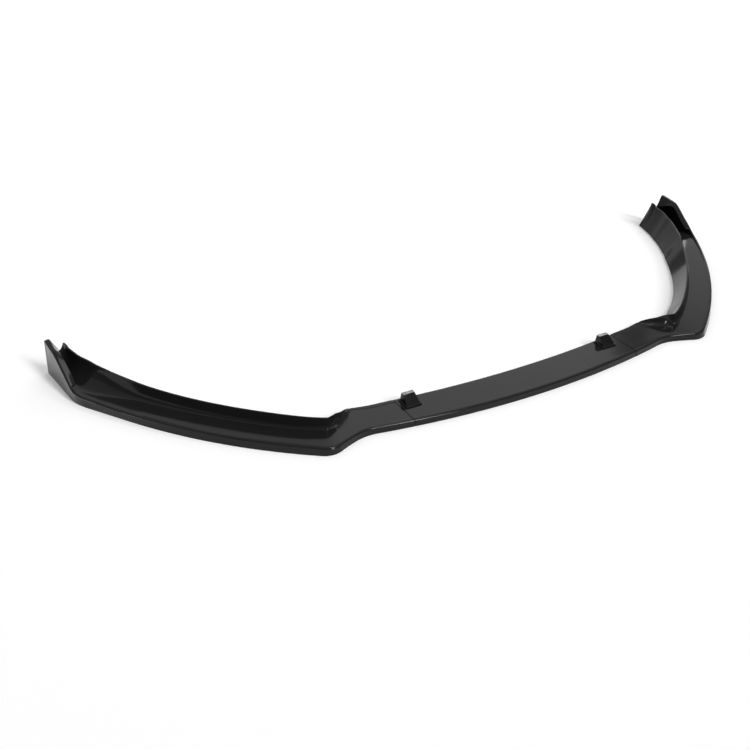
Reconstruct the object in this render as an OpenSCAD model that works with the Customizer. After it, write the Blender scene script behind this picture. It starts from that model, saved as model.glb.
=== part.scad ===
// Front splitter lip in three moulded panels: a centre panel and two wings that sweep back.
// Each wing carries a scooped riser and ends in an upright fin.
// Millimetres. X runs across the car, Y from front to rear and Z upwards.

/* [Outline in plan, seen from above] */
// Length of the shallow front arc from the middle of the lip to the neck
centre_len = 380; // [340:5:420]
// Turn of that arc, in degrees
centre_turn = 11.5; // [9:0.5:14]
// Length of the bend that turns the edge forward again
neck_len = 49; // [42:1:60]
// Turn of the neck's bend, in degrees
neck_turn = 29; // [24:0.5:33]
// Length of the run from the neck to the corner
run_len = 48; // [40:1:60]
// Turn of that run, in degrees
run_turn = 7.4; // [4:0.2:9]
// Length of the rounded corner
corner_len = 45; // [38:1:56]
// Turn of the rounded corner, in degrees
corner_turn = 61; // [55:0.5:66]
// Length of the long sweep of a wing
sweep_len = 431; // [390:5:470]
// Turn of the long sweep, in degrees
sweep_turn = 21; // [18:0.5:24]
// Length of the straight stretch before the fin
straight_len = 113; // [95:1:130]
// Length of the bend at the foot of the fin
bend_len = 58; // [48:1:70]
// Turn of that bend, in degrees
bend_turn = 27.2; // [22:0.5:30]
// Length of the fin's straight stretch
fin_len = 132; // [112:1:150]

/* [Blade and lip] */
// Wall of the moulding
wall = 3; // [2.4:0.1:3.4]
// Height of the lip's front face at the middle
lip_h = 15.6; // [14.5:0.1:18]
// Height of the lip's front face along a wing
wing_lip_h = 20.4; // [19:0.2:23]
// Radius of the lip's top edge
lip_r = 1.8; // [1.2:0.1:2.2]
// Depth of the blade at the middle, front to rear
blade_depth = 95; // [88:1:100]
// Depth from front to rear edge at the neck
neck_depth = 113.5; // [108:0.5:118]
// Depth from front to rear edge along a wing
wing_depth = 96; // [92:1:101]
// Depth from front to rear edge at the rear end
rear_depth = 70; // [66:1:75]

/* [Riser] */
// Distance of the riser's top edge from the front face near the corner
riser_in = 66.5; // [62:0.5:70]
// Distance of the riser's top edge from the front face at its rear end
riser_rear_in = 39.5; // [37.5:0.5:43]
// Height of the riser's top edge near the corner
riser_h = 43; // [38:1:48]
// Height of the riser's top edge at its rear end
riser_rear_h = 69; // [64:0.5:74]
// Height of the small ear at the riser's rear end
ear_h = 2.6; // [1:0.2:4]
// Width of the riser's rounded top edge
ridge_w = 4; // [3:0.2:5]

/* [Fin] */
// Height of the fin
fin_h = 90; // [84:1:98]
// Width of the fin's top flange
flange_w = 15; // [12:0.5:18]
// How far the lip's face leans outward along a wing
wing_lean = 5; // [2:0.5:7]
// How far the lip's face leans inward round the corner
corner_lean = 3; // [1:0.5:4]
// Forward slope of the rear end, in millimetres per millimetre of height
rake = 0.165; // [0.1:0.005:0.2]
// Depth of the shallow scallops in the rear end
scallop = 8; // [3:0.5:12]

/* [Seams and fixings] */
// Distance of each seam from the middle
seam_x = 297.5; // [285:0.5:310]
// Gap at a seam
seam_gap = 0.4; // [0.2:0.1:0.8]
// Size across of the joint plate under a seam
plate_x = 66; // [62:1:76]
// Distance from the joint plate to the blade's rear edge
joint_rear = 24; // [22:1:26]
// Thickness of the joint plate
plate_t = 2.5; // [2:0.1:3]
// Spacing of the joint screws across the seam
screw_dx = 36; // [32:1:42]
// Distance from the joint plate's front and rear edges to its screws
plate_rim = 11; // [9:0.5:12]
// Distance from the front face to the joint plate
joint_set = 10; // [8:1:14]
// Diameter of a screw's shank
screw_d = 3.5; // [3:0.1:4]
// Diameter of a screw's head
head_d = 7.4; // [6.6:0.1:8]
// Height of a screw's head
head_h = 2.3; // [1.8:0.1:2.6]
// Outer diameter of a screw boss
boss_d = 9; // [8:0.2:10]
// Spacing of the low ribs under the centre panel
rib_pitch = 105; // [98:1:108]
// Height of those ribs
rib_h = 6; // [4:0.5:8]
// Distance from a rib's rear end to the blade's rear edge
rib_set = 18; // [16:1:22]

/* [Mounting blocks] */
// Distance of the left block from the middle
left_block_x = 270.5; // [240:0.5:274]
// Distance of the right block from the middle
right_block_x = 256.5; // [240:0.5:274]
// Width of a block's base flange
block_w = 37; // [33:1:42]
// Depth of a block's base flange
block_d = 38; // [34:1:44]
// Height of a block over the blade
block_h = 20; // [16:0.5:26]
// Thickness of a block's base flange
block_t = 2.5; // [2:0.5:5]
// Margin of the base flange round the wedge
block_rim = 2.5; // [1.5:0.5:4]
// Width of the wedge's flat top
block_top_w = 28; // [22:1:30]
// Depth of the wedge's flat top
block_top_d = 10; // [7:0.5:14]
// Distance from a block's rear side to the blade's rear edge
block_set = 4; // [3:1:8]
// Distance from a block's rear side to its two screws
block_screw_set = 14; // [13:0.5:17]
// Distance from a block's left and right sides to its screws
screw_side = 8; // [7:0.5:9]

/* [Hidden] */

gloss = "#1c1c1e";
matte = "#2b2b2d";
steel = "#b9bbbf";

// Clearance round a shank and under a seated piece
play = 0.3;
// Depth of the small step from the lip's bead to the blade
bead = 0.6;
// Height of a screw boss, from the blade's underside
boss_h = 4.4;
// Thickness of a rib
rib_t = 2;

// The outline as a walk: each stretch has a length and a turn
stretches = [[centre_len, centre_turn], [neck_len, -neck_turn], [run_len, -run_turn],
             [corner_len, corner_turn], [sweep_len, sweep_turn], [straight_len, 0],
             [bend_len, bend_turn], [fin_len, 0]];

// A step from p = [x, y, heading] along an arc of length l that turns by a
function walk(p, l, a) =
    abs(a) < 0.001
    ? [p[0] + l * cos(p[2]), p[1] + l * sin(p[2]), p[2]]
    : let (r = l * 180 / (PI * a))
      [p[0] + r * (sin(p[2] + a) - sin(p[2])), p[1] - r * (cos(p[2] + a) - cos(p[2])), p[2] + a];

joints = [for (i = 0, p = [0, 0, 0]; i <= len(stretches);
               p = i < len(stretches) ? walk(p, stretches[i][0], stretches[i][1]) : p, i = i + 1) p];
starts = [for (i = 0, s = 0; i <= len(stretches);
               s = i < len(stretches) ? s + stretches[i][0] : s, i = i + 1) s];

// Station u counts stretches: 4.5 is half way along the fifth one
function piece(u) = min(floor(u), len(stretches) - 1);
function outline(u) = let (i = piece(u), k = u - i)
    walk(joints[i], stretches[i][0] * k, stretches[i][1] * k);
function length_at(u) = let (i = piece(u)) starts[i] + stretches[i][0] * (u - i);

// Smooth value from a list of [station, value]: level at both ends, rounded between
function knot(t, i) = t[max(0, min(len(t) - 1, i))];
function slope(t, i) = i <= 0 || i >= len(t) - 1 ? 0
    : (t[i + 1][1] - t[i - 1][1]) / (t[i + 1][0] - t[i - 1][0]);
function span(t, u, i = 0) = i >= len(t) - 2 || u < t[i + 1][0] ? i : span(t, u, i + 1);
function smooth(t, u) =
    u <= t[0][0] ? t[0][1] : u >= t[len(t) - 1][0] ? t[len(t) - 1][1] :
    let (i = span(t, u), d = t[i + 1][0] - t[i][0], k = (u - t[i][0]) / d)
    t[i][1] * (2 * pow(k, 3) - 3 * pow(k, 2) + 1) + slope(t, i) * d * (pow(k, 3) - 2 * pow(k, 2) + k)
    + t[i + 1][1] * (3 * pow(k, 2) - 2 * pow(k, 3)) + slope(t, i + 1) * d * (pow(k, 3) - pow(k, 2));

// Radius of the front arc, and of the arc that ends the centre panel's blade at the rear
front_r = centre_len * 180 / (PI * centre_turn);
rear_arc = 2300;
function set_back(x, r) = r - sqrt(pow(r, 2) - pow(x, 2));
// Depth of the blade at a seam
seam_depth = blade_depth + set_back(seam_x, rear_arc) - set_back(seam_x, front_r);

// The seam is the first station of a wing
function seam_u(x) = front_r * asin(x / front_r) * PI / 180 / centre_len;
u0 = seam_u(seam_x + seam_gap / 2);

// Direction across the section: it follows the outline, but not the corner bulge
function lean(u) =
    let (s = length_at(u), s0 = length_at(u0))
    s <= starts[1] ? joints[1][2] * (s - s0) / (starts[1] - s0)
    : s <= starts[4] ? joints[1][2] + (joints[4][2] - joints[1][2]) * (s - starts[1]) / (starts[4] - starts[1])
    : s <= starts[5] ? joints[4][2] + (joints[5][2] - joints[4][2]) * (s - starts[4]) / (starts[5] - starts[4])
    : joints[5][2] + (90 - joints[5][2]) * (s - starts[5]) / (starts[8] - starts[5]);

// Height of the lip's top edge, which rises into the fin
function edge_h(u) = smooth([[1, lip_h], [3.6, lip_h + 0.2 * (wing_lip_h - lip_h)], [4.05, lip_h + 0.35 * (wing_lip_h - lip_h)],
    [4.6, wing_lip_h], [5, wing_lip_h + 2.6], [5.8, wing_lip_h + 5.2], [6.2, wing_lip_h + 6.1], [6.5, wing_lip_h + 9],
    [6.7, wing_lip_h + 14.6], [6.9, wing_lip_h + 0.32 * (fin_h - wing_lip_h)], [7.04, wing_lip_h + 0.42 * (fin_h - wing_lip_h)],
    [7.2, wing_lip_h + 0.61 * (fin_h - wing_lip_h)], [7.4, wing_lip_h + 0.845 * (fin_h - wing_lip_h)],
    [7.52, wing_lip_h + 0.93 * (fin_h - wing_lip_h)], [7.7, wing_lip_h + 0.964 * (fin_h - wing_lip_h)], [8, fin_h]], u);
// Lean of the front face at that edge: inward round the corner, outward along the wing and the fin
function bow(u) = smooth([[2.2, 0], [3.6, corner_lean], [4.2, corner_lean], [4.6, 0.5], [5, -0.8 * wing_lean], [5.4, -wing_lean],
    [6.2, -0.75 * wing_lean], [6.5, -0.76 * wing_lean], [6.9, -0.5 * wing_lean], [7.45, -0.56 * wing_lean], [7.7, -0.38 * wing_lean],
    [8, 0.1 * wing_lean]], u);
// Level of the blade, which ramps up behind the fin to close the channel
function blade_z(u) = smooth([[1, lip_h - bead], [3.6, lip_h + 0.2 * (wing_lip_h - lip_h) - bead], [4.6, wing_lip_h - bead], [5.4, wing_lip_h + 1],
    [7.6, wing_lip_h + 1], [7.78, wing_lip_h + 12], [7.9, wing_lip_h + 27], [8, wing_lip_h + 36]], u);
// Width and drop of the fin's top flange
function flange(u) = smooth([[6.72, lip_r + 0.8], [6.78, flange_w], [7.4, flange_w + 1], [7.7, flange_w + 7], [8, flange_w + 13]], u);
function drop(u) = smooth([[6.72, 0.15], [6.78, 1.4], [7.4, 2.4], [7.7, 17], [8, 29]], u);

// Slight crown of that flange towards the rear end
function crown(u) = smooth([[6.72, -0.05], [6.78, 0], [7.4, 0], [8, 1]], u);

// Distance of the rear edge from the front face, and its height
function rear_t(u) = smooth([[u0, seam_depth], [1, seam_depth - 4.5], [1.57, seam_depth + 0.3], [2.24, neck_depth - 8], [2.56, neck_depth - 5.5],
    [2.95, neck_depth - 2.5], [3.24, neck_depth - 2.5], [3.6, neck_depth - 9], [3.85, neck_depth - 16], [4.0, wing_depth - 3], [4.08, wing_depth + 4],
    [4.16, wing_depth + 5], [4.28, wing_depth + 1.5], [4.5, wing_depth - 0.6], [5, wing_depth + 2.5], [5.4, wing_depth + 1.5], [5.8, wing_depth + 5],
    [6.4, wing_depth + 7.5], [7, wing_depth + 1.5], [7.33, wing_depth - 11], [7.65, rear_depth + 6.5], [8, rear_depth]], u);
function rear_z(u) = smooth([[2.56, lip_h - bead], [3.2, lip_h - bead - 1], [8, wall]], u);
// Distance and height of the riser's top edge
function ridge_t(u) = smooth([[u0, seam_depth - 12], [1, seam_depth - 16.5], [2, neck_depth - 24], [2.24, neck_depth - 15], [2.56, neck_depth - 15],
    [2.95, neck_depth - 13], [3.24, neck_depth - 14.5], [3.6, neck_depth - 22], [3.85, riser_in + 14.5], [4.0, riser_in + 8.5], [4.08, riser_in + 3],
    [4.16, riser_in + 0.6], [4.3, riser_in - 0.6], [4.5, riser_in - 2.2], [4.75, riser_in - 4.9], [5, riser_in - 7.7], [5.4, riser_in - 8.4],
    [5.8, riser_in - 5.4], [6.3, riser_in - 1.8], [7, riser_rear_in + 19.5], [7.36, riser_rear_in + 6.8], [7.7, riser_rear_in + 2], [8, riser_rear_in]], u);
function ridge_z(u) = smooth([[2, lip_h - bead], [2.24, lip_h + 2.6], [2.56, lip_h + 0.31 * (riser_h - lip_h)], [2.95, lip_h + 0.47 * (riser_h - lip_h)],
    [3.24, lip_h + 0.61 * (riser_h - lip_h)], [3.6, lip_h + 0.83 * (riser_h - lip_h)], [3.85, riser_h - 2.9], [4.0, riser_h - 2.2], [4.08, riser_h - 0.4],
    [4.16, riser_h + 1.1], [4.3, riser_h + 2.7], [4.5, riser_h + 4.6], [4.75, riser_h + 7.6], [5, riser_h + 12.3], [5.4, riser_h + 16.5],
    [5.8, riser_rear_h - 7.4], [6.3, riser_rear_h - 5.5], [7, riser_rear_h - 3.4], [7.36, riser_rear_h - 2], [7.78, riser_rear_h - 1.2],
    [7.8, riser_rear_h - 1.1], [7.86, riser_rear_h + ear_h], [8, riser_rear_h + ear_h]], u);
// Width of the scoop that runs up into the riser
function scoop_w(u) = smooth([[1, 20], [2.2, 40], [2.7, 44], [3.2, 38], [3.6, 24], [3.9, 13], [4.1, 9], [4.4, 12], [5, 24], [5.5, 34], [6.3, 44],
    [7, 46], [7.36, 38], [7.7, 34], [8, 19]], u);

// One section as [distance from the front face, height], from the lip's foot over the top and back beneath
scoop_n = 5;
scoop_end = 78;
function section(u) =
    let (h = edge_h(u), o = bow(u), zb = blade_z(u), g = flange(u), gd = drop(u), tau = min(1, max(0, (g - lip_r - 0.8) / 4)),
         tr = ridge_t(u), zr = max(zb, ridge_z(u)), rise = zr - zb, w = min(scoop_w(u), tr - wall - 1.6), ta = tr - w,
         tf = rear_t(u), zf = rear_z(u),
         steep = atan(rise / w * sin(scoop_end) / (1 - cos(scoop_end)) * tan(scoop_end)),
         fall = atan((zr - zf) / (tf - tr - ridge_w)),
         apex_t = tr + wall * sin(steep),
         apex_z = zr - max(wall, wall / cos(fall) - (ridge_w - wall * sin(steep)) * tan(fall)),
         ends = sin(scoop_end), endc = 1 - cos(scoop_end))
    concat(
        [[0, 0], [o * (h - lip_r) / h, h - lip_r], [o + lip_r * 0.3, h - lip_r * 0.3], [o + lip_r, h],
         [o + lip_r + 0.26 * (g - lip_r), h + crown(u)], [o + lip_r + 0.5 * (g - lip_r), h - 0.27 * gd], [o + g, h - gd], [o + g + 0.05, h - gd - 0.15 - (wall - 0.75) * tau],
         [o + wall + 0.1, h - 0.45 - (wall - 0.6) * tau - 0.1 * gd * tau], [o * zb / h + wall + 0.4, zb + 0.05], [o * zb / h + wall + 1.5, zb]],
        [for (k = [0:scoop_n]) let (q = scoop_end * k / scoop_n) [ta + w * sin(q) / ends, zb + rise * (1 - cos(q)) / endc]],
        [[tr + 0.35 * ridge_w, zr + 0.4], [tr + ridge_w, zr - 0.1], [tr + ridge_w + 0.5 * (tf - tr - ridge_w), zr - 0.5 * (zr - zf)], [tf, zf]],
        [[tf - wall * sin(fall), zf - wall * cos(fall)],
         [tr + ridge_w + 0.5 * (tf - tr - ridge_w) - wall * sin(fall), zr - 0.5 * (zr - zf) - wall * cos(fall)],
         [apex_t, apex_z]],
        [for (k = [scoop_n - 1:-1:0]) let (q = scoop_end * k / scoop_n,
             a = atan2(rise / endc * sin(q), w / ends * cos(q)))
            [ta + w * sin(q) / ends + wall * sin(a), min(apex_z - 0.02 * (scoop_n - k), zb + rise * (1 - cos(q)) / endc - wall * cos(a))]],
        [[o * (zb - wall) / h + wall, zb - wall], [wall, 0]]);

// The section's points at a station, in space; the rear end is raked forward, and scalloped on both sides of the riser
function hollow(t, tr, tf) = t < tr ? pow(sin(180 * pow(max(0, t) / tr, 1.6)), 2) : pow(sin(180 * min(1, (t - tr) / (tf - tr))), 2);
function ring(u) =
    let (p = outline(u), a = lean(u), k = max(0, u - 7), tr = ridge_t(u) + ridge_w / 2, tf = rear_t(u))
    [for (q = section(u)) [p[0] - q[0] * sin(a),
        p[1] + q[0] * cos(a) - q[1] * rake * k * k - scallop * pow(k, 4) * hollow(q[0], tr, tf), q[1]]];

// The stations of a wing: closer together where the form turns quickly
stations = concat([u0, u0 + 0.4 * (1 - u0), 1, 1.5, 2, 2.24, 2.56, 2.8, 3], [for (k = [1:8]) 3 + k / 8],
    [4.08, 4.17, 4.28], [for (k = [0:5]) 4.4 + k * 0.12], [for (k = [1:4]) 5 + k / 4],
    [6.33, 6.6, 6.72, 6.78, 6.88, 7], [7.14, 7.28, 7.42, 7.56, 7.68, 7.78, 7.82, 7.86, 7.93, 8]);

// Skin through rings of points, closed at both ends
module skin(rings) {
    n = len(rings[0]);
    m = len(rings);
    polyhedron(
        points = [for (r = rings) each r],
        faces = concat(
            [[for (i = [n - 1:-1:0]) i]],
            [for (j = [0:m - 2], i = [0:n - 1]) let (a = j * n + i, b = j * n + (i + 1) % n, c = b + n, d = a + n) each [[a, c, d], [a, b, c]]],
            [[for (i = [0:n - 1]) (m - 1) * n + i]]),
        convexity = 12);
}

// The frame's origin is under the middle of the whole lip
rear_y = outline(8)[1];
module in_frame() translate([0, -rear_y / 2, 0]) children();

// Places of the screws of a joint, of the block and of its screws
seam_y = outline(u0)[1];
plate_y = seam_depth - joint_set - joint_rear;
screw_dy = plate_y - 2 * plate_rim;
joint_y = seam_y + joint_set + plate_y / 2;
under_z = lip_h - bead - wall;
block_pitch = block_w - 2 * screw_side;
function block_y(x) = blade_depth + set_back(x, rear_arc) - block_set - block_d / 2;

module joint_spots(side) for (y = [-0.5, 0.5]) translate([seam_x + side * screw_dx / 2, joint_y + y * screw_dy, 0]) children();
module block_spots(at) for (x = [-0.5, 0.5]) translate([at + x * block_pitch, block_y(at) + block_d / 2 - block_screw_set, 0]) children();

module boss() translate([0, 0, under_z - boss_h]) cylinder(d = boss_d, h = boss_h + wall / 2, $fn = 48);
module pilot(depth) translate([0, 0, under_z - boss_h - 1]) cylinder(d = screw_d + 2 * play, h = depth + 1, $fn = 48);

// A pan head screw that points up; its head seats under z = 0
module screw(length) {
    translate([0, 0, -head_h]) cylinder(d1 = head_d - 1.4, d2 = head_d, h = head_h * 0.5, $fn = 40);
    translate([0, 0, -head_h / 2]) cylinder(d = head_d, h = head_h / 2, $fn = 40);
    cylinder(d = screw_d, h = length - 1.2, $fn = 32);
    translate([0, 0, length - 1.2]) cylinder(d1 = screw_d, d2 = screw_d * 0.4, h = 1.2, $fn = 32);
}

// Half of a wing's mirror pair, on the right of the car as seen from the front
module wing() {
    difference() {
        union() {
            skin([for (u = stations) ring(u)]);
            joint_spots(1) boss();
        }
        joint_spots(1) pilot(boss_h + wall * 0.5);
    }
}

// A wedge on a base flange: a sloped front face, a small flat top and a steep rear face
module block(at) {
    foot_w = block_w - 2 * block_rim;
    foot_d = block_d - 2 * block_rim;
    translate([at, block_y(at), lip_h - bead]) difference() {
        union() {
            translate([-block_w / 2, -block_d / 2, 0]) cube([block_w, block_d, block_t]);
            hull() {
                translate([-foot_w / 2, -foot_d / 2, block_t - 0.5]) cube([foot_w, foot_d, 0.5]);
                translate([-block_top_w / 2, foot_d / 2 - 1.5 - block_top_d, block_h - 1]) cube([block_top_w, block_top_d, 1]);
            }
        }
        for (x = [-0.5, 0.5]) translate([x * block_pitch, block_d / 2 - block_screw_set, -1]) cylinder(d = screw_d + 2 * play, h = 11, $fn = 48);
    }
}

module joint_plate() {
    difference() {
        translate([seam_x - plate_x / 2, joint_y - plate_y / 2, under_z - boss_h - plate_t]) cube([plate_x, plate_y, plate_t]);
        for (side = [-1, 1]) joint_spots(side) translate([0, 0, under_z - boss_h - plate_t - 1]) cylinder(d = screw_d + 2 * play, h = plate_t + 2, $fn = 48);
    }
}

module joint_screws() for (side = [-1, 1]) joint_spots(side) translate([0, 0, under_z - boss_h - plate_t]) screw(plate_t + boss_h + 0.8);
module block_screws(at) block_spots(at) translate([0, 0, under_z]) screw(wall + 8.5);

module both() { children(); mirror([1, 0, 0]) children(); }

module centre_panel() {
    half = asin((seam_x + 20) / front_r);
    color(gloss) in_frame() difference() {
        union() {
            intersection() {
                translate([0, front_r, 0]) rotate([0, 0, -90 - half])
                    rotate_extrude(angle = 2 * half, $fn = 900)
                        polygon([for (q = [[0, 0], [0, lip_h - lip_r], [lip_r * 0.3, lip_h - lip_r * 0.3], [lip_r, lip_h], [lip_r + 0.8, lip_h - 0.15],
                            [wall + 0.4, lip_h - bead + 0.05], [wall + 1.5, lip_h - bead], [blade_depth + 20, lip_h - bead],
                            [blade_depth + 20, under_z], [wall, under_z], [wall, 0]]) [front_r - q[0], q[1]]]);
                translate([-seam_x + seam_gap / 2, -50, -10]) cube([2 * seam_x - seam_gap, 400, 60]);
            }
            both() joint_spots(-1) boss();
            for (i = [-2:2]) let (x = i * rib_pitch, y = wall + 1 + set_back(x, front_r))
                translate([x - rib_t / 2, y, under_z - rib_h]) cube([rib_t, blade_depth + set_back(x, rear_arc) - rib_set - y, rib_h + 0.5]);
        }
        translate([0, blade_depth + rear_arc, -20]) cylinder(r = rear_arc, h = 80, $fn = 1440);
        both() joint_spots(-1) pilot(boss_h + wall * 0.5);
        for (at = [-left_block_x, right_block_x]) block_spots(at) translate([0, 0, under_z - 1]) cylinder(d = screw_d + 2 * play, h = wall + 2, $fn = 48);
    }
}

module right_wing() { color(gloss) in_frame() wing(); }
module left_wing() { color(gloss) in_frame() mirror([1, 0, 0]) wing(); }
module right_block() { color(matte) in_frame() block(right_block_x); }
module left_block() { color(matte) in_frame() block(-left_block_x); }
module right_joint_plate() { color(matte) in_frame() joint_plate(); }
module left_joint_plate() { color(matte) in_frame() mirror([1, 0, 0]) joint_plate(); }
module right_joint_screws() { color(steel) in_frame() joint_screws(); }
module left_joint_screws() { color(steel) in_frame() mirror([1, 0, 0]) joint_screws(); }
module right_block_screws() { color(steel) in_frame() block_screws(right_block_x); }
module left_block_screws() { color(steel) in_frame() block_screws(-left_block_x); }

centre_panel();
left_wing();
right_wing();
left_block();
right_block();
left_joint_plate();
right_joint_plate();
left_joint_screws();
right_joint_screws();
left_block_screws();
right_block_screws();
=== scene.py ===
# %% [markdown]
# Front splitter lip, dressed for its photograph.
# The real object is a gloss black moulding in three panels: a centre panel and
# two wings that sweep back. Each wing carries a scooped riser and an upright fin.
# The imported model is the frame, so every piece here uses its sizes and its place.

# %% Load the frame
import bpy
import numpy as np
from mathutils import Matrix, Vector


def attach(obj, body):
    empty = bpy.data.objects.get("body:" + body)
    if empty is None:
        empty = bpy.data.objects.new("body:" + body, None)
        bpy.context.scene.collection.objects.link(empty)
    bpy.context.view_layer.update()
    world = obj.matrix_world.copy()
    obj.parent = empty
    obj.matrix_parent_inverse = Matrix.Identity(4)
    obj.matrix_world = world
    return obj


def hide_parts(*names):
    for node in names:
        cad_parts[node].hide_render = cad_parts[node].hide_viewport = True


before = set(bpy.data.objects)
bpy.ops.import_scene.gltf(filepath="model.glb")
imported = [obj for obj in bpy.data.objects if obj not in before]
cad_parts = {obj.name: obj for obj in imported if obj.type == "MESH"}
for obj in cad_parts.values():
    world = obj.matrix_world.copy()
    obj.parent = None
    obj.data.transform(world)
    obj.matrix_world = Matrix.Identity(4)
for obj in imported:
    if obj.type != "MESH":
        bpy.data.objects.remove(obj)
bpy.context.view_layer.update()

print("nodes:", sorted(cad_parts))

# %% [markdown]
# The camera comes first, because every later choice is judged through it.
# The photograph looks down at about 31 degrees from the left front. The three
# directions below were solved from the outline of the lip, as right, up and back.

# %% Camera
camera_right = Vector((0.8712, -0.4910, 0.0))
camera_up = Vector((0.2498, 0.4431, 0.8610))
camera_back = camera_right.cross(camera_up).normalized()
camera_place = Vector((-1.2598, -1.8231, 1.1949))

camera_data = bpy.data.cameras.new("photo_camera")
camera_data.sensor_width = 36.0
camera_data.lens = 50.38
camera_data.clip_end = 60.0
camera = bpy.data.objects.new("photo_camera", camera_data)
bpy.context.scene.collection.objects.link(camera)
turn = Matrix((camera_right, camera_back.cross(camera_right), camera_back)).transposed()
camera.matrix_world = Matrix.Translation(camera_place) @ turn.to_4x4()
bpy.context.scene.camera = camera
print("camera at", tuple(round(c, 3) for c in camera_place), "lens", camera_data.lens)

# %% [markdown]
# Meshes are made from whole arrays. A strip of rings is a grid of points: one
# ring is a section of the moulding, and the rings follow each other along it.
# One helper turns such a grid into a closed mesh, so each piece only needs its
# own formula.

# %% Grid to mesh
MM = 0.001

def grid_mesh(name, *grids, caps=True, sharp=32.0):
    """Grids of rings, each of shape (rings, points, 3) in millimetres, joined by quads.
    Neighbouring points and neighbouring rings share a quad. With caps the two end
    rings of a grid are filled; without them its last ring joins its first."""
    faces, first = [], 0
    for rings in grids:
        m, n = rings.shape[:2]
        here = np.arange(m - 1 if caps else m)[:, None] * n
        after = (here + n) % (m * n)
        i = np.arange(n)[None, :]
        nxt = (i + 1) % n
        quads = np.stack([here + i, here + nxt, after + nxt, after + i], -1).reshape(-1, 4) + first
        faces += quads.tolist()
        if caps:
            faces.append(list(range(first + n - 1, first - 1, -1)))
            faces.append(list(range(first + (m - 1) * n, first + m * n)))
        first += m * n
    mesh = bpy.data.meshes.new(name)
    mesh.from_pydata((np.concatenate([g.reshape(-1, 3) for g in grids]) * MM).tolist(), [], faces)
    mesh.validate()
    mesh.polygons.foreach_set("use_smooth", np.ones(len(mesh.polygons), bool))
    mesh.set_sharp_from_angle(angle=np.radians(sharp))
    mesh.update()
    return mesh

def outward(mesh):
    """Turns the faces outward when the enclosed volume comes out negative."""
    mesh.calc_loop_triangles()
    v = np.empty(len(mesh.vertices) * 3)
    mesh.vertices.foreach_get("co", v)
    t = np.empty(len(mesh.loop_triangles) * 3, int)
    mesh.loop_triangles.foreach_get("vertices", t)
    a, b, c = v.reshape(-1, 3)[t.reshape(-1, 3)].transpose(1, 0, 2)
    volume = np.einsum("ij,ij->i", a, np.cross(b, c)).sum() / 6
    if volume < 0:
        mesh.flip_normals()
    return abs(volume)

def place(name, mesh, material, nodes=()):
    """Makes the mesh a piece that rides on the body and stands for the nodes."""
    volume = outward(mesh)
    piece = bpy.data.objects.new(name, mesh)
    bpy.context.scene.collection.objects.link(piece)
    mesh.materials.clear()
    mesh.materials.append(material)
    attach(piece, "root")
    if nodes:
        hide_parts(*nodes)
    print(name, "points", len(mesh.vertices), "faces", len(mesh.polygons), "cm3", round(volume * 1e6, 1))
    return piece

# %% [markdown]
# Gloss black plastic is nearly black under its gloss: what the eye sees is the
# room in it. The base is therefore very dark, and the detail sits in the gloss:
# a faint waviness from the mould, slow patches that are a little duller, and a
# trace of fine dust. All patterns use Object coordinates.

# %% Helpers for materials
def node_tree(name):
    """A new material with its tree emptied down to one shader and one output."""
    material = bpy.data.materials.new(name)
    material.use_nodes = True
    tree = material.node_tree
    tree.nodes.clear()
    out = tree.nodes.new("ShaderNodeOutputMaterial")
    shader = tree.nodes.new("ShaderNodeBsdfPrincipled")
    tree.links.new(shader.outputs["BSDF"], out.inputs["Surface"])
    return material, tree, shader

def pattern(tree, scale, detail, stretch=(1, 1, 1)):
    """Noise on Object coordinates, stretched by a Mapping node; returns its value."""
    where = tree.nodes.new("ShaderNodeTexCoord")
    mapping = tree.nodes.new("ShaderNodeMapping")
    mapping.inputs["Scale"].default_value = stretch
    noise = tree.nodes.new("ShaderNodeTexNoise")
    noise.inputs["Scale"].default_value = scale
    noise.inputs["Detail"].default_value = detail
    tree.links.new(where.outputs["Object"], mapping.inputs["Vector"])
    tree.links.new(mapping.outputs["Vector"], noise.inputs["Vector"])
    return noise.outputs["Fac"]

def ramp(tree, value, low, high, start, end):
    """Value between low and high, as the input goes from start to end."""
    node = tree.nodes.new("ShaderNodeMapRange")
    node.inputs["From Min"].default_value = start
    node.inputs["From Max"].default_value = end
    node.inputs["To Min"].default_value = low
    node.inputs["To Max"].default_value = high
    tree.links.new(value, node.inputs["Value"])
    return node.outputs["Result"]

def colours(tree, value, dark, light):
    """Colour between dark and light, as the value goes from 0 to 1."""
    node = tree.nodes.new("ShaderNodeValToRGB")
    node.color_ramp.elements[0].color = (*dark, 1)
    node.color_ramp.elements[1].color = (*light, 1)
    tree.links.new(value, node.inputs["Fac"])
    return node.outputs["Color"]

def bump(tree, shader, height, strength, distance):
    """Height to the shader's normal."""
    node = tree.nodes.new("ShaderNodeBump")
    node.inputs["Strength"].default_value = strength
    node.inputs["Distance"].default_value = distance
    tree.links.new(height, node.inputs["Height"])
    tree.links.new(node.outputs["Normal"], shader.inputs["Normal"])

# %% Gloss black of the panels
def gloss_black(name):
    """Dark base with a trace of dust, roughness in slow patches, and mould waviness as bump."""
    material, tree, shader = node_tree(name)
    dust = ramp(tree, pattern(tree, 520, 4), 0.0, 1.0, 0.45, 0.85)
    base = colours(tree, dust, (0.0118, 0.0118, 0.0121), (0.0142, 0.0142, 0.0145))
    tree.links.new(base, shader.inputs["Base Color"])
    haze = ramp(tree, pattern(tree, 7, 3), 0.08, 0.13, 0.3, 0.7)
    tree.links.new(haze, shader.inputs["Roughness"])
    shader.inputs["IOR"].default_value = 1.29
    bump(tree, shader, pattern(tree, 11, 1), 0.018, 0.0012)
    return material

gloss = gloss_black("gloss_black_plastic")
print("gloss nodes:", len(gloss.node_tree.nodes))

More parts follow.
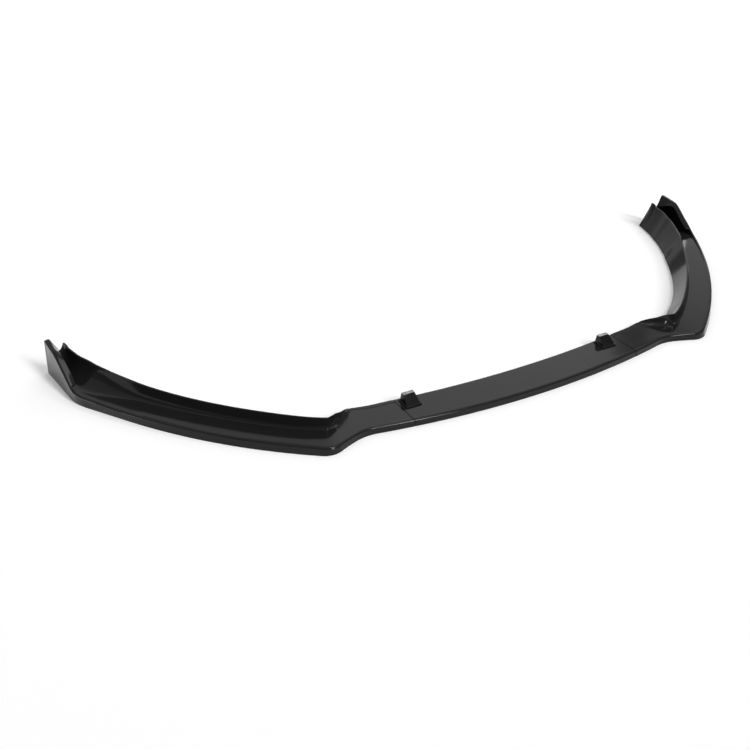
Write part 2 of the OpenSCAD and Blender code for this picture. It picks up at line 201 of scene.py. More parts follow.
# %% [markdown]
# The wedge blocks and the joint plates are plain moulded parts with a fine
# spark-eroded grain, so they look duller than the panels. The flat top of a block
# is painted pale: painted light that stands in for the light the top catches, so its
# colour follows the height in Object coordinates. The screws are zinc plated steel.

# %% Matte plastic and screw steel
def grained_black(name, tone):
    """Fine grain as bump, with the tone varying slightly over the piece."""
    material, tree, shader = node_tree(name)
    base = colours(tree, pattern(tree, 60, 4), tuple(0.7 * c for c in tone), tone)
    tree.links.new(base, shader.inputs["Base Color"])
    rough = ramp(tree, pattern(tree, 240, 3), 0.34, 0.5, 0.3, 0.7)
    tree.links.new(rough, shader.inputs["Roughness"])
    bump(tree, shader, pattern(tree, 1800, 2), 0.25, 0.0003)
    return material

def black_with_painted_top_light(name, tone, pale, level):
    """Grained black whose top is painted pale, in blotches, over the last 0.4 mm up to a height in metres:
    painted light on the top face.
    """
    material, tree, shader = node_tree(name)
    where = tree.nodes.new("ShaderNodeTexCoord")
    parts = tree.nodes.new("ShaderNodeSeparateXYZ")
    tree.links.new(where.outputs["Object"], parts.inputs["Vector"])
    # Painted light: the top 0.4 mm of the block is painted pale, standing in for the light on its top face.
    height = ramp(tree, parts.outputs["Z"], 0.0, 1.0, level - 0.0004, level)
    blotch = ramp(tree, pattern(tree, 130, 3), 0.55, 1.0, 0.3, 0.6)
    both = tree.nodes.new("ShaderNodeMath")
    both.operation = "MULTIPLY"
    tree.links.new(height, both.inputs[0])
    tree.links.new(blotch, both.inputs[1])
    tree.links.new(colours(tree, both.outputs[0], tone, pale), shader.inputs["Base Color"])
    rough = ramp(tree, pattern(tree, 240, 3), 0.16, 0.24, 0.3, 0.7)
    tree.links.new(rough, shader.inputs["Roughness"])
    shader.inputs["IOR"].default_value = 1.3
    bump(tree, shader, pattern(tree, 1500, 2), 0.15, 0.0003)
    return material

def zinc(name):
    """Cool metal with cloudy roughness and a faint drawn texture."""
    material, tree, shader = node_tree(name)
    base = colours(tree, pattern(tree, 300, 3), (0.42, 0.43, 0.45), (0.66, 0.67, 0.68))
    tree.links.new(base, shader.inputs["Base Color"])
    shader.inputs["Metallic"].default_value = 1.0
    rough = ramp(tree, pattern(tree, 500, 2), 0.25, 0.42, 0.3, 0.7)
    tree.links.new(rough, shader.inputs["Roughness"])
    bump(tree, shader, pattern(tree, 900, 2, (1, 1, 0.1)), 0.15, 0.0002)
    return material

matte = grained_black("grained_black_plastic", (0.013, 0.013, 0.014))
block_top_level = 0.035
# Painted light: this material paints the block tops pale, in blotches, up to block_top_level.
painted_top_light_plastic = black_with_painted_top_light("black_plastic_painted_top_light", (0.006, 0.006, 0.0062), (0.42, 0.42, 0.42), block_top_level)
steel = zinc("zinc_plated_steel")

# %% [markdown]
# The outline in plan is one walk along the lip's front edge. Each stretch has a
# length and a turn, so the whole curve needs eight pairs of numbers. A station u
# counts the stretches: 4.5 is half way along the fifth one. These are the sizes
# that the solids have.

# %% Outline in plan
stretch_length = np.array([380, 49, 48, 45, 431, 113, 58, 132], float)
stretch_turn = np.radians([11.5, -29, -7.4, 61, 21, 0, 27.2, 0])
length_before = np.concatenate([[0], np.cumsum(stretch_length)])
heading_before = np.concatenate([[0], np.cumsum(stretch_turn)])

def step(length, start, turned):
    """An arc's chord points half way between its two headings."""
    chord = length * np.sinc(turned / (2 * np.pi))
    return np.stack([chord * np.cos(start + turned / 2), chord * np.sin(start + turned / 2)], -1)

chords = step(stretch_length, heading_before[:8], stretch_turn)
joint_places = np.concatenate([[[0, 0]], np.cumsum(chords, 0)])

def outline(u):
    """Point of the front edge at station u: the last joint plus part of an arc."""
    i = np.minimum(np.floor(u).astype(int), 7)
    k = u - i
    return joint_places[i] + step(stretch_length[i] * k, heading_before[i], stretch_turn[i] * k)

def along(u):
    """Length of the edge from the middle to station u."""
    return np.interp(u, np.arange(9), length_before)

frame_shift = np.array([0, joint_places[8, 1] / 2])
print("half width", round(joint_places[8, 0], 1), "depth", round(joint_places[8, 1], 1))

# %% [markdown]
# Along a wing, every size of the section changes slowly. Each change is a short
# table of stations and values with a rounded curve through it, level at the ends.
# All lengths here are in millimetres. The edge of the lip is rounded a little more
# than on the solids, by edge_wide and edge_deep beyond its radius lip_r.
# The skin's outer edges at a seam have a small rebate, so that the joint shows as a
# fine dark line.

# %% Smooth tables
def smooth(table, u):
    """Cubic curve through [station, value] pairs, taken over the length of the edge, so that
    it has no kink where two stretches meet; a slope is the rise over two neighbours."""
    s, v = np.array(table, float).T
    s, u = along(s), along(u)
    slope = np.zeros(len(s))
    slope[1:-1] = (v[2:] - v[:-2]) / (s[2:] - s[:-2])
    u = np.clip(u, s[0], s[-1])
    i = np.clip(np.searchsorted(s, u, side="right") - 1, 0, len(s) - 2)
    d = s[i + 1] - s[i]
    k = (u - s[i]) / d
    return (v[i] * (2 * k**3 - 3 * k**2 + 1) + slope[i] * d * (k**3 - 2 * k**2 + k)
            + v[i + 1] * (3 * k**2 - 2 * k**3) + slope[i + 1] * d * (k**3 - k**2))

wall, lip_h, wing_lip_h, lip_r, bead = 3.0, 15.6, 20.4, 1.8, 0.6
edge_wide, edge_deep = 3.0, 1.4
blade_depth, neck_depth, wing_depth, rear_depth = 95, 113.5, 96, 70
riser_in, riser_rear_in, riser_h, riser_rear_h, ear_h, ridge_w = 66.5, 39.5, 43, 69, 2.6, 4
fin_h, flange_w, wing_lean, corner_lean, rake, scallop = 90, 15, 5, 3, 0.165, 8
seam_x, seam_gap, rear_arc = 297.5, 0.4, 2300
front_r = stretch_length[0] / stretch_turn[0]
seam_u = front_r * np.arcsin((seam_x + seam_gap / 2) / front_r) / stretch_length[0]

def set_back(x, r):
    """How far a circle of radius r has fallen back at a distance x from its middle."""
    return r - np.sqrt(r**2 - np.square(x))

seam_depth = blade_depth + set_back(seam_x, rear_arc) - set_back(seam_x, front_r)
top_z = lip_h - bead
under_z = top_z - wall
print("front radius", round(front_r, 1), "seam station", round(float(seam_u), 4))

rebate_w, rebate_h = 0.8, 1.6

def rebate(d):
    """How far the skin's outer side has fallen back at a distance d from a seam's edge: a
    step rebate_w wide and rebate_h high, with a steep side."""
    return rebate_h * (1 - np.clip(d / rebate_w, 0, 1) ** 8)

# %% Sizes along a wing
def lean(u):
    """Direction across the section: it follows the outline but skips the corner's bulge."""
    s = along(u)
    ends = [length_before[1], length_before[4], length_before[5], length_before[8]]
    angles = [heading_before[1], heading_before[4], heading_before[5], np.pi / 2]
    return np.interp(s, [along(seam_u)] + ends, [0.0] + angles)

def edge_h(u):
    """Height of the lip's top edge, which rises into the fin."""
    w, f = wing_lip_h, fin_h - wing_lip_h
    return smooth([[1, lip_h], [3.6, lip_h + 0.2 * (w - lip_h)], [4.05, lip_h + 0.35 * (w - lip_h)],
                   [4.6, w], [5, w + 2.6], [5.8, w + 5.2], [6.2, w + 6.1], [6.5, w + 9],
                   [6.7, w + 14.6], [6.9, w + 0.32 * f], [7.04, w + 0.42 * f], [7.2, w + 0.61 * f],
                   [7.4, w + 0.845 * f], [7.52, w + 0.93 * f], [7.7, w + 0.964 * f], [8, fin_h]], u)

def bow(u):
    """Lean of the front face: inward round the corner, outward along wing and fin."""
    c, w = corner_lean, wing_lean
    return smooth([[2.2, 0], [3.6, c], [4.2, c], [4.6, 0.5], [5, -0.8 * w], [5.4, -w],
                   [6.2, -0.75 * w], [6.5, -0.76 * w], [6.9, -0.5 * w], [7.45, -0.56 * w],
                   [7.7, -0.38 * w], [8, 0.1 * w]], u)

def blade_z(u):
    """Level of the blade, which ramps up behind the fin."""
    w = wing_lip_h
    return smooth([[1, top_z], [3.6, lip_h + 0.2 * (w - lip_h) - bead], [4.6, w - bead], [5.4, w + 1],
                   [7.6, w + 1], [7.78, w + 12], [7.9, w + 27], [8, w + 36]], u)

def flange(u):
    """Width of the fin's top flange."""
    f = flange_w
    return smooth([[6.72, lip_r + 0.8], [6.78, f], [7.4, f + 1], [7.7, f + 7], [8, f + 13]], u)

def drop(u):
    """How far that flange falls from the edge to its inner side."""
    return smooth([[6.72, 0.15], [6.78, 1.4], [7.4, 2.4], [7.7, 17], [8, 29]], u)

def crown(u):
    """Slight crown of the flange towards the rear end."""
    return smooth([[6.72, -0.05], [6.78, 0], [7.4, 0], [8, 1]], u)

def rear_t(u):
    """Distance of the rear edge from the front face."""
    d, n, w, r = seam_depth, neck_depth, wing_depth, rear_depth
    return smooth([[seam_u, d], [1, d - 4.5], [1.57, d + 0.3], [2.24, n - 8], [2.56, n - 5.5],
                   [2.95, n - 2.5], [3.24, n - 2.5], [3.6, n - 9], [3.85, n - 16], [4.0, w - 3],
                   [4.08, w + 4], [4.16, w + 5], [4.28, w + 1.5], [4.5, w - 0.6], [5, w + 2.5],
                   [5.4, w + 1.5], [5.8, w + 5], [6.4, w + 7.5], [7, w + 1.5], [7.33, w - 11],
                   [7.65, r + 6.5], [8, r]], u)

def rear_z(u):
    """Height of the rear edge."""
    return smooth([[2.56, top_z], [3.2, top_z - 1], [8, wall]], u)

def ridge_t(u):
    """Distance of the riser's top edge from the front face."""
    d, n, r, b = seam_depth, neck_depth, riser_in, riser_rear_in
    return smooth([[seam_u, d - 12], [1, d - 16.5], [2, n - 24], [2.24, n - 15], [2.56, n - 15],
                   [2.95, n - 13], [3.24, n - 14.5], [3.6, n - 22], [3.85, r + 14.5], [4.0, r + 8.5],
                   [4.08, r + 3], [4.16, r + 0.6], [4.3, r - 0.6], [4.5, r - 2.2], [4.75, r - 4.9],
                   [5, r - 7.7], [5.4, r - 8.4], [5.8, r - 5.4], [6.3, r - 1.8], [7, b + 19.5],
                   [7.36, b + 6.8], [7.7, b + 2], [8, b]], u)

def ridge_z(u):
    """Height of the riser's top edge."""
    h, q, f = riser_h, riser_rear_h, riser_h - lip_h
    return smooth([[2, top_z], [2.24, lip_h + 2.6], [2.56, lip_h + 0.31 * f], [2.95, lip_h + 0.47 * f],
                   [3.24, lip_h + 0.61 * f], [3.6, lip_h + 0.83 * f], [3.85, h - 2.9], [4.0, h - 2.2],
                   [4.08, h - 0.4], [4.16, h + 1.1], [4.3, h + 2.7], [4.5, h + 4.6], [4.75, h + 7.6],
                   [5, h + 12.3], [5.4, h + 16.5], [5.8, q - 7.4], [6.3, q - 5.5], [7, q - 3.4],
                   [7.36, q - 2], [7.78, q - 1.2], [7.8, q - 1.1], [7.86, q + ear_h], [8, q + ear_h]], u)

def scoop_w(u):
    """Width of the scoop that runs up into the riser."""
    return smooth([[1, 20], [2.2, 40], [2.7, 44], [3.2, 38], [3.6, 24], [3.9, 13], [4.1, 9], [4.4, 12],
                   [5, 24], [5.5, 34], [6.3, 44], [7, 46], [7.36, 38], [7.7, 34], [8, 19]], u)

# %% [markdown]
# The section of a wing is a loop: up the front face, round the lip's edge, over
# the fin's flange, down to the blade, up the scoop to the ridge, down the back
# face and home along the underside. Points are columns of arrays, so one call
# works out the section at every station at once.

# %% Section of a wing
def lerp(a, b, k):
    """Straight mix of two columns, for each share in k."""
    return a[:, None] * (1 - k) + b[:, None] * k

def curve_through(points, count):
    """Rounded curve through a few columns: each stretch is a cubic with neighbour slopes."""
    p = np.stack(points, 0)
    m = np.zeros_like(p)
    m[1:-1] = (p[2:] - p[:-2]) / 2
    m[0], m[-1] = p[1] - p[0], p[-1] - p[-2]
    x = np.linspace(0, len(p) - 1, count)
    i = np.minimum(x.astype(int), len(p) - 2)
    k = (x - i)[:, None]
    return (p[i] * (2 * k**3 - 3 * k**2 + 1) + m[i] * (k**3 - 2 * k**2 + k)
            + p[i + 1] * (3 * k**2 - 2 * k**3) + m[i + 1] * (k**3 - k**2)).T

def square(u):
    """How square the scoop is: 1 for an upright wall over a small fillet, 0 for a plain arc."""
    return smooth([[3.4, 0], [3.95, 1], [5.0, 1], [5.8, 0.3], [6.3, 0]], u)

scoop_end = np.radians(78)

def scoop_arc(ta, zb, w, rise, sq, share):
    """An arc up to scoop_end from the blade to the ridge, stretched to w by rise; powers of its
    two parts push it into the corner. Returns distance, height and slope of each point."""
    q = np.maximum(scoop_end * share, 1e-3)[None, :]
    a, b = (1 - 0.4 * sq)[:, None], (1 + 0.5 * sq)[:, None]
    wide, high = np.sin(scoop_end), 1 - np.cos(scoop_end)
    run, up = np.sin(q) / wide, (1 - np.cos(q)) / high
    along_t = w[:, None] * a * run ** (a - 1) * np.cos(q) / wide
    along_z = rise[:, None] * b * up ** (b - 1) * np.sin(q) / high
    t, z = ta[:, None] + w[:, None] * run**a, zb[:, None] + rise[:, None] * up**b
    return t, z, np.arctan2(along_z, along_t)

face_points, edge_points = 7, 10

def wing_section(u):
    """Distance from the front face and height of each point of the loop, for all stations.
    tau is 0 where the edge is a plain lip and 1 where it carries the fin's flange."""
    h, o, zb, g, gd = edge_h(u), bow(u), blade_z(u), flange(u), drop(u)
    tau = np.clip((g - lip_r - 0.8) / 4, 0, 1)
    tr, zr = ridge_t(u), np.maximum(zb, ridge_z(u))
    rise = zr - zb
    w = np.minimum(scoop_w(u), tr - wall - 1.6)
    ta, tf, zf = tr - w, rear_t(u), rear_z(u)
    soft, deep = lip_r + edge_wide - 0.2 * tau, lip_r + edge_deep - 0.6 * tau
    g = np.maximum(g, soft + 0.8)
    arc_slope = np.sin(scoop_end) / (1 - np.cos(scoop_end)) * np.tan(scoop_end)
    steep = np.arctan(rise / w * arc_slope)
    fall = np.arctan((zr - zf) / (tf - tr - ridge_w))
    apex_t = tr + wall * np.sin(steep)
    apex_z = zr - np.maximum(wall, wall / np.cos(fall) - (ridge_w - wall * np.sin(steep)) * np.tan(fall))
    t, z = [], []
    def add(tt, zz):
        t.append(tt if tt.ndim > 1 else tt[:, None])
        z.append(zz if zz.ndim > 1 else zz[:, None])
    # Front face, then the lip's rounded edge
    k = np.linspace(0, 1, face_points)[None, :]
    add(lerp(0 * h, o * (h - deep) / h, k), lerp(0 * h, h - deep, k))
    a = np.radians(np.linspace(10, 90, edge_points))[None, :]
    add((o + soft)[:, None] - soft[:, None] * np.cos(a), (h - deep)[:, None] + deep[:, None] * np.sin(a))
    # Top of the flange and its inner side, down to the blade
    tt = curve_through([o + soft, o + soft + 0.26 * (g - soft), o + soft + 0.5 * (g - soft), o + g], 16)
    zz = curve_through([h, h + crown(u), h - 0.27 * gd, h - gd], 16)
    add(tt[:, 1:], np.minimum(zz, (h + np.maximum(crown(u), 0))[:, None])[:, 1:])
    add(o + g + 0.05, h - gd - 0.15 - (wall - 0.75) * tau)
    inner_t, inner_z = o + wall + 0.1 + 2.8 * (1 - tau), h - 0.45 - (wall - 0.6) * tau - 0.1 * gd * tau
    add(inner_t, inner_z)
    k = np.linspace(0, 1, 5)[None, 1:]
    add(lerp(inner_t, o * zb / h + wall + 0.4 + 3.6 * (1 - tau), k), lerp(inner_z, zb + 0.05, k))
    # Blade, scoop, ridge and back face
    k = np.linspace(0, 1, 6)[None, :]
    add(lerp(o * zb / h + wall + 1.5 + 4.4 * (1 - tau), ta, k)[:, :-1], lerp(zb, zb, k)[:, :-1])
    add(*scoop_arc(ta, zb, w, rise, square(u), np.linspace(0, 1, 33))[:2])
    tt = curve_through([tr, tr + 0.35 * ridge_w, tr + ridge_w], 7)
    zz = curve_through([zr, zr + 0.4, zr - 0.1], 7)
    add(tt[:, 1:], zz[:, 1:])
    k = np.linspace(0, 1, 9)[None, 1:]
    add(lerp(tr + ridge_w, tf, k), lerp(zr - 0.1, zf, k))
    # Underside, one wall below: back face, scoop, blade and the lip's foot
    add(tf - wall * np.sin(fall), zf - wall * np.cos(fall))
    mid_t = tr + ridge_w + 0.5 * (tf - tr - ridge_w) - wall * np.sin(fall)
    add(mid_t, zr - 0.5 * (zr - zf) - wall * np.cos(fall))
    add(apex_t, apex_z)
    out_t, out_z, slope = scoop_arc(ta, zb, w, rise, square(u), np.linspace(1, 0, 17)[1:])
    add(out_t + wall * np.sin(slope), np.minimum(out_z - wall * np.cos(slope), apex_z[:, None] - 0.01))
    add(o * (zb - wall) / h + wall, zb - wall)
    add(0 * h + wall, 0 * h)
    # Rebate at the seam: the face and half the edge step back, the top steps down
    t, z = np.concatenate(t, 1), np.concatenate(z, 1)
    fall_back = rebate(along(u) - along(seam_u))[:, None]
    outer = (z > (zb - wall + 0.5)[:, None]) & (t < (tf - 1)[:, None])
    index = np.arange(t.shape[1])
    t = t + np.where(index < face_points + edge_points // 2, fall_back, 0)
    return t, z - np.where(outer & (index > face_points), fall_back, 0), tr, tf

# %% Rings of a wing in space
def wing_rings(u):
    """Each section is set across the outline; the rear end is raked forward and scalloped."""
    t, z, tr, tf = wing_section(u)
    p, a, k = outline(u), lean(u), np.maximum(0, u - 7)
    top = (tr + ridge_w / 2)[:, None]
    share = np.where(t < top, (np.maximum(t, 0) / top) ** 1.6, (t - top) / (tf[:, None] - top))
    hollow = np.sin(np.pi * np.clip(share, 0, 1)) ** 2
    x = p[:, :1] - t * np.sin(a)[:, None]
    y = p[:, 1:] + t * np.cos(a)[:, None] - z * rake * (k**2)[:, None] - scallop * (k**4)[:, None] * hollow
    return np.stack([x, y - frame_shift[1], z], -1)

rebate_rings = rebate_w * np.array([0.04, 0.14, 0.3, 0.5, 0.75, 1])
ring_runs = ((seam_u, 1, 24), (1, 4, 70), (4, 5, 90), (5, 6, 30),
             (6, 6.7, 24), (6.7, 6.8, 14), (6.8, 7.6, 36), (7.6, 8, 44))
stations = np.unique(np.concatenate(
    [seam_u + rebate_rings / stretch_length[0]] + [np.linspace(*run) for run in ring_runs]).round(5))
right_rings = wing_rings(stations)
left_rings = right_rings[:, ::-1] * [-1, 1, 1]
place("right_wing_skin", grid_mesh("right_wing_skin", right_rings), gloss, ["right_wing"])
place("left_wing_skin", grid_mesh("left_wing_skin", left_rings), gloss, ["left_wing"])

# %% [markdown]
# The centre panel is simpler: the same lip and blade along one shallow arc, cut
# square at both seams. Its rear edge is a second, slightly flatter arc.

# %% Centre panel
def centre_rings(x):
    """Offset t from the front arc of radius R lies at y = R - sqrt((R - t)^2 - x^2)."""
    a = np.radians(np.linspace(0, 90, 11))
    soft, deep = lip_r + edge_wide, lip_r + edge_deep
    front = [(0.0, 0.0), (0.0, 5.0), (0.0, 10.0)]
    edge = [(soft - soft * np.cos(v), lip_h - deep + deep * np.sin(v)) for v in a]
    step_down = [(soft + 0.8, lip_h - 0.12), (soft + 2.1, top_z + 0.06), (soft + 3.7, top_z)]
    t, z = np.array(front + edge + step_down).T
    y_front = front_r - np.sqrt((front_r - t[None, :]) ** 2 - x[:, None] ** 2)
    y_rear = blade_depth + set_back(x, rear_arc)
    k = np.linspace(0, 1, 9)[None, 1:]
    blade_y = lerp(y_front[:, -1], y_rear, k)
    y_in = front_r - np.sqrt((front_r - wall) ** 2 - x**2)
    y = np.concatenate([y_front, blade_y, y_rear[:, None], y_in[:, None], y_in[:, None]], 1)
    zz = np.concatenate([z, np.full(8, top_z), [under_z, under_z, 0.0]])
    fall_back = rebate(x[-1] - np.abs(x))[:, None]
    index, steep_points = np.arange(len(zz)), 7
    y = y + np.where(index < len(front) + steep_points, fall_back, 0)
    zz = zz - np.where((index > len(front)) & (zz > under_z), fall_back, 0)
    return np.stack([np.broadcast_to(x[:, None], y.shape), y - frame_shift[1], zz], -1)

centre_end = seam_x - seam_gap / 2
centre_x = np.unique(np.concatenate([
    np.linspace(-centre_end, centre_end, 161), centre_end - rebate_rings, rebate_rings - centre_end]))
centre_mesh = grid_mesh("centre_panel_skin", centre_rings(centre_x))
place("centre_panel_skin", centre_mesh, gloss, ["centre_panel"])

# %% [markdown]
# Under the skin sit the parts that a mould maker adds: low ribs that stiffen the
# centre panel, and screw bosses at each seam. A rib is a tapered wall with a
# rounded foot. A boss is a profile carried round its axis, with a bore for the
# screw and a small chamfer at its mouth.

# %% Ribs
rib_pitch, rib_h, rib_t, rib_set, rib_slope = 105, 6, 2, 18, 3
sunk_in = 0.4

def rib_rings(x):
    """Half circle at the foot, sides that widen upward; the ends slope up into the blade.
    The rib reaches into the skin by sunk_in."""
    y0, y1 = wall + 1 + set_back(x, front_r), blade_depth + set_back(x, rear_arc) - rib_set
    a = np.radians(np.linspace(180, 360, 9))
    r = 0.4 * rib_t
    side = np.concatenate([[-rib_t / 2], r * np.cos(a), [rib_t / 2]])
    low = np.concatenate([[0.0], -rib_h + r + r * np.sin(a), [0.0]])
    middle = np.linspace(y0 + 2 * rib_slope, y1 - 2 * rib_slope, 6)
    y = np.concatenate([[y0, y0 + rib_slope], middle, [y1 - rib_slope, y1]])
    share = np.concatenate([[0.45, 0.85], np.ones(6), [0.85, 0.45]])
    z = under_z + sunk_in + share[:, None] * low[None, :]
    y = y - frame_shift[1]
    return np.stack([x + np.broadcast_to(side, z.shape), np.broadcast_to(y[:, None], z.shape), z], -1)

rib_grids = [rib_rings(k * rib_pitch) for k in range(-2, 3)]
place("centre_ribs", grid_mesh("centre_ribs", *rib_grids), gloss)

# %% Screw bosses
joint_set, joint_rear, plate_rim, screw_dx = 10, 24, 11, 36
boss_d, boss_h, bore_d, boss_chamfer, bore_lead = 9, 4.4, 4.1, 0.25, 0.5
plate_y = seam_depth - joint_set - joint_rear
joint_y = outline(np.array([seam_u]))[0, 1] + joint_set + plate_y / 2 - frame_shift[1]

def boss_rings(x, y, count=48):
    """Profile of radius and height carried round the axis at (x, y)."""
    foot, top, out, bore = under_z - boss_h, under_z + sunk_in, boss_d / 2, bore_d / 2
    radius = np.array([out, out, out - boss_chamfer, bore + bore_lead, bore, bore])
    height = np.array([top, foot + boss_chamfer, foot, foot, foot + bore_lead, top])
    a = np.linspace(0, 2 * np.pi, count, endpoint=False)[:, None]
    return np.stack([x + radius * np.cos(a), y + radius * np.sin(a), np.broadcast_to(height, (count, 6))], -1)

def bosses(side, inner):
    """The two bosses on one side of a seam: side is -1 or 1, inner those of the centre panel."""
    x = side * (seam_x + (-1 if inner else 1) * screw_dx / 2)
    gap = plate_y / 2 - plate_rim
    return [boss_rings(x, joint_y + k * gap) for k in (-1, 1)]

boss_sets = (("centre_bosses", bosses(-1, True) + bosses(1, True), "panel_gloss"),
             ("left_wing_bosses", bosses(-1, False), "wing_gloss"),
             ("right_wing_bosses", bosses(1, False), "wing_gloss"))
for name, grids, slot_name in boss_sets:
    place(name, grid_mesh(name, *grids, caps=False), gloss)

# %% [markdown]
# A block is a wedge on a base flange. Real mouldings have rounded edges, and each
# one catches a thin light, so the block is a stack of rounded rectangles: rings
# that keep the wedge's slopes, with extra rings where an edge turns over.

# %% Mounting blocks
block_w, block_d, block_h, block_t, block_rim = 37, 38, 20, 2.5, 2.5
block_top_w, block_top_d, block_set = 28, 10, 4

def rounded_rectangle(x0, x1, y0, y1, r, count=7):
    """Four quarter circles of radius r; the straight sides lie between them."""
    a = np.radians(np.linspace(0, 90, count))[None, :] + np.radians([0, 90, 180, 270])[:, None]
    cx = np.array([x1 - r, x0 + r, x0 + r, x1 - r])[:, None]
    cy = np.array([y1 - r, y1 - r, y0 + r, y0 + r])[:, None]
    return np.stack([cx + r * np.cos(a), cy + r * np.sin(a)], -1).reshape(-1, 2)

def block_rings(at):
    """Base flange with a rounded rim, then a wedge whose outline shrinks evenly to its top."""
    w, d = block_w / 2, block_d / 2
    fw, fd = w - block_rim, d - block_rim
    top = (-block_top_w / 2, block_top_w / 2, fd - 1.5 - block_top_d, fd - 1.5)
    rows = [(-w, w, -d, d, 1.6, 0.0), (-w, w, -d, d, 1.6, block_t - 0.5)]
    rows += [(-w + c, w - c, -d + c, d - c, 1.6, block_t - 0.5 + e)
             for c, e in ((0.07, 0.25), (0.25, 0.43), (0.5, 0.5))]
    rows += [(-fw - 0.5, fw + 0.5, -fd - 0.5, fd + 0.5, 1.6, block_t), (-fw, fw, -fd, fd, 1.4, block_t + 0.3)]
    for k in (0.1, 0.4, 0.7, 0.96):
        x0, x1, y0, y1 = (a * (1 - k) + b * k for a, b in zip((-fw, fw, -fd, fd), top))
        rows.append((x0, x1, y0, y1, 1.3, block_t + k * (block_h - 0.7 - block_t)))
    rows += [(top[0] + c, top[1] - c, top[2] + c, top[3] - c, 1.0, block_h - 0.5 + e)
             for c, e in ((0.05, 0.1), (0.2, 0.35), (0.5, 0.5))]
    y = blade_depth + set_back(at, rear_arc) - block_set - block_d / 2 - frame_shift[1]
    loops = [rounded_rectangle(*row[:5]) + [at, y] for row in rows]
    return np.stack([np.column_stack([xy, np.full(len(xy), top_z + row[5])]) for xy, row in zip(loops, rows)])

block_places = {"left_block": -270.5, "right_block": 256.5}
for name, at in block_places.items():
    # Each wedge gets the material that paints light on its flat top.
    wedge_mesh = grid_mesh(name + "_wedge", block_rings(at), sharp=50)
    place(name + "_wedge", wedge_mesh, painted_top_light_plastic, [name])

# %% Plates and screws keep their solids
finishes = {"left_joint_plate": matte, "right_joint_plate": matte, "left_joint_screws": steel,
            "right_joint_screws": steel, "left_block_screws": steel, "right_block_screws": steel}
for node, finish in finishes.items():
    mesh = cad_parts[node].data
    mesh.materials.clear()
    mesh.materials.append(finish)
print("finished nodes:", sorted(finishes))

# %% [markdown]
# A white room: a pale floor that keeps the shadow, and lamps at a plain level.
# The lamps leave the lit paper just under white. For camera, mirror and glass
# rays the floor adds a little of its own light, so that it reads as white paper
# and shows as white in the gloss.

# %% Floor
floor_half, floor_drop, paper_tone, paper_light = 16.0, 0.0003, 0.84, 0.22
floor_material, floor_tree, paper = node_tree("white_floor")
paper.inputs["Base Color"].default_value = (paper_tone, paper_tone, paper_tone, 1)
paper.inputs["Roughness"].default_value = 1.0
paper.inputs["Specular IOR Level"].default_value = 0.0
paper.inputs["Emission Color"].default_value = (1, 1, 1, 1)
rays = floor_tree.nodes.new("ShaderNodeLightPath")
seen = rays.outputs["Is Camera Ray"]
for other in ("Is Glossy Ray", "Is Transmission Ray"):
    either = floor_tree.nodes.new("ShaderNodeMath")
    either.operation = "MAXIMUM"
    floor_tree.links.new(seen, either.inputs[0])
    floor_tree.links.new(rays.outputs[other], either.inputs[1])
    seen = either.outputs[0]
own_light = ramp(floor_tree, seen, 0.0, paper_light, 0.0, 1.0)
floor_tree.links.new(own_light, paper.inputs["Emission Strength"])

floor_mesh = bpy.data.meshes.new("floor")
corners = [(x * floor_half, y * floor_half, 0) for x, y in ((-1, -1), (1, -1), (1, 1), (-1, 1))]
floor_mesh.from_pydata(corners, [], [(0, 1, 2, 3)])
floor_mesh.materials.append(floor_material)
floor = bpy.data.objects.new("floor", floor_mesh)
floor.location = (0, 0, -floor_drop)
bpy.context.scene.collection.objects.link(floor)
print("floor tone", paper_tone, "own light", paper_light)

# %% [markdown]
# The key is a tall narrow light in front, a little to the right: three discs over
# each other. It throws the grey shadow behind the left fin and draws the thin
# bright line on the lip's rounded edge. A wide dim dome overhead and an even sky
# fill the rest. Dim soft boxes stand behind, where the flat tops mirror them. A low
# one there fills the back of the right riser, a low strip on the right draws a light
# streak in the right scoop, and a small box overhead brightens the sloping flange
# on the left fin.

# %% World and lamps
sky_light = 0.16
world = bpy.data.worlds.new("studio")
bpy.context.scene.world = world
world.use_nodes = True
sky = world.node_tree.nodes["Background"]
sky.inputs["Color"].default_value = (1, 1, 1, 1)
sky.inputs["Strength"].default_value = sky_light

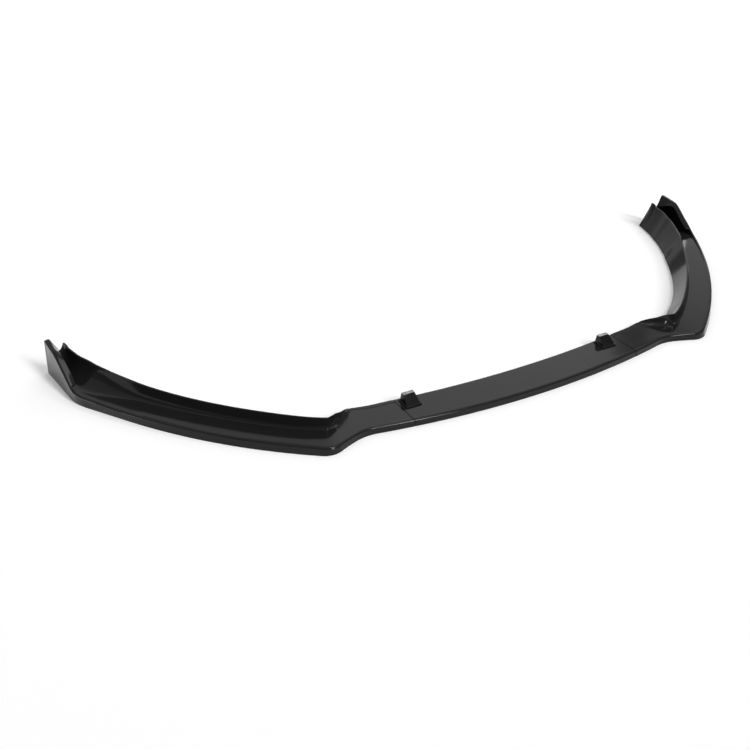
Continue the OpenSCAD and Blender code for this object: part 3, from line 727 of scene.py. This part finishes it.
def soft_sun(name, azimuth, height, angle, strength):
    """A far round soft box: azimuth from +X towards +Y, height over the floor, both in degrees."""
    data = bpy.data.lights.new(name, "SUN")
    data.energy, data.angle = strength, np.radians(angle)
    lamp = bpy.data.objects.new(name, data)
    a, h = np.radians(azimuth), np.radians(height)
    toward = Vector((np.cos(a) * np.cos(h), np.sin(a) * np.cos(h), np.sin(h)))
    lamp.rotation_euler = toward.to_track_quat("Z", "Y").to_euler()
    bpy.context.scene.collection.objects.link(lamp)
    half = np.radians(angle) / 2
    print(name, "light on a level sheet", round(strength * np.sin(h) / np.pi, 2),
          "radiance", round(strength / (np.pi * np.sin(half) ** 2), 2))

def soft_box(name, place_at, aim, width, height, radiance):
    """A rectangular soft box that points at aim, in metres; its radiance is what a mirror shows."""
    data = bpy.data.lights.new(name, "AREA")
    data.shape = "RECTANGLE"
    data.size, data.size_y, data.energy = width, height, radiance * width * height * np.pi
    lamp = bpy.data.objects.new(name, data)
    lamp.location = place_at
    lamp.rotation_euler = (Vector(aim) - Vector(place_at)).to_track_quat("-Z", "Y").to_euler()
    bpy.context.scene.collection.objects.link(lamp)
    print(name, "radiance", radiance)

key_azimuth, key_angle = -73, 11
for name, height, strength in (("low_key", 34, 0.90), ("middle_key", 44, 0.72), ("high_key", 54, 0.62)):
    soft_sun(name, key_azimuth, height, key_angle, strength)
soft_sun("overhead_dome", 110, 70, 110, 0.66)
soft_box("rear_softbox", (3.15, 4.25, 3.5), (0, -0.2, 0), 2.2, 2.7, 0.72)
soft_box("right_softbox", (5.0, 3.3, 2.1), (0, -0.2, 0), 1.3, 1.9, 0.56)
soft_box("left_softbox", (0.1, 4.0, 3.3), (-0.6, -0.1, 0), 3.2, 4.2, 0.23)
soft_box("right_strip", (5.5, 3.3, 1.35), (0.8, 0.1, 0), 1.5, 1.1, 1.5)
soft_box("low_softbox", (-0.1, 5.0, 0.6), (0.7, 0, 0.05), 3.2, 1.1, 0.5)
soft_box("top_softbox", (0.42, 0.05, 2.74), (-0.88, 0.2, 0), 0.8, 0.8, 3.4)

# %% Finish
bpy.context.scene.view_settings.view_transform = "Standard"
